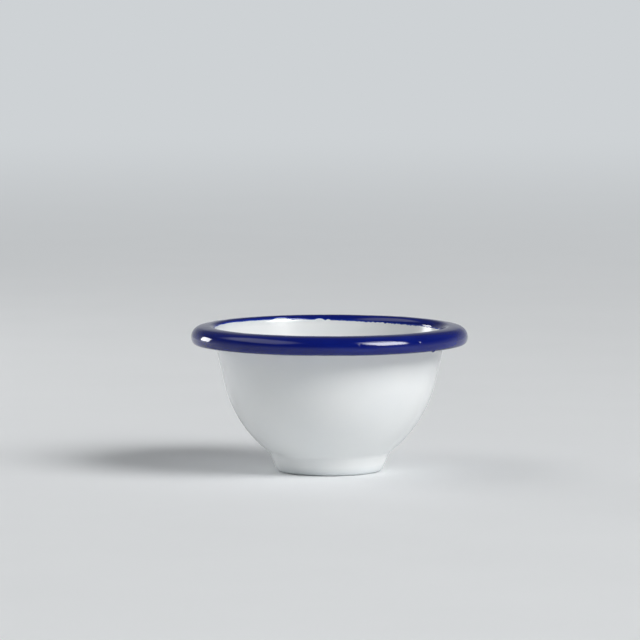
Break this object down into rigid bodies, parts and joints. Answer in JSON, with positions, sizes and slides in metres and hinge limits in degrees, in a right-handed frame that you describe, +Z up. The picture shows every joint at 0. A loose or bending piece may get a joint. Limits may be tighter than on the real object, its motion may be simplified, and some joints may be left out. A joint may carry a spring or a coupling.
{
  "type": "enamel pinch pot",
  "caption": "Small round footed bowl pressed from sheet steel with a hollow rolled rim, enamelled white with a cobalt blue rim, for salt, spices or dips.",
  "frame": {"origin": "on the table, at the middle of the ring that the pot stands on", "axes": "+Z up along the axis that the pot is round about; X and Y are alike"},
  "size_m": [0.08, 0.08, 0.0422],
  "materials": {
    "sheet_steel": "pressed, covered by the enamel except inside the rolled bead",
    "white_enamel_inside": "glossy fired enamel",
    "white_enamel_outside": "glossy fired enamel",
    "blue_enamel": "glossy fired enamel"
  },
  "bodies": {
    "root": {"steel_bowl": "sheet_steel", "white_inside_enamel": "white_enamel_inside", "white_outside_enamel": "white_enamel_outside", "blue_rim_enamel": "blue_enamel"}
  },
  "joints": []
}
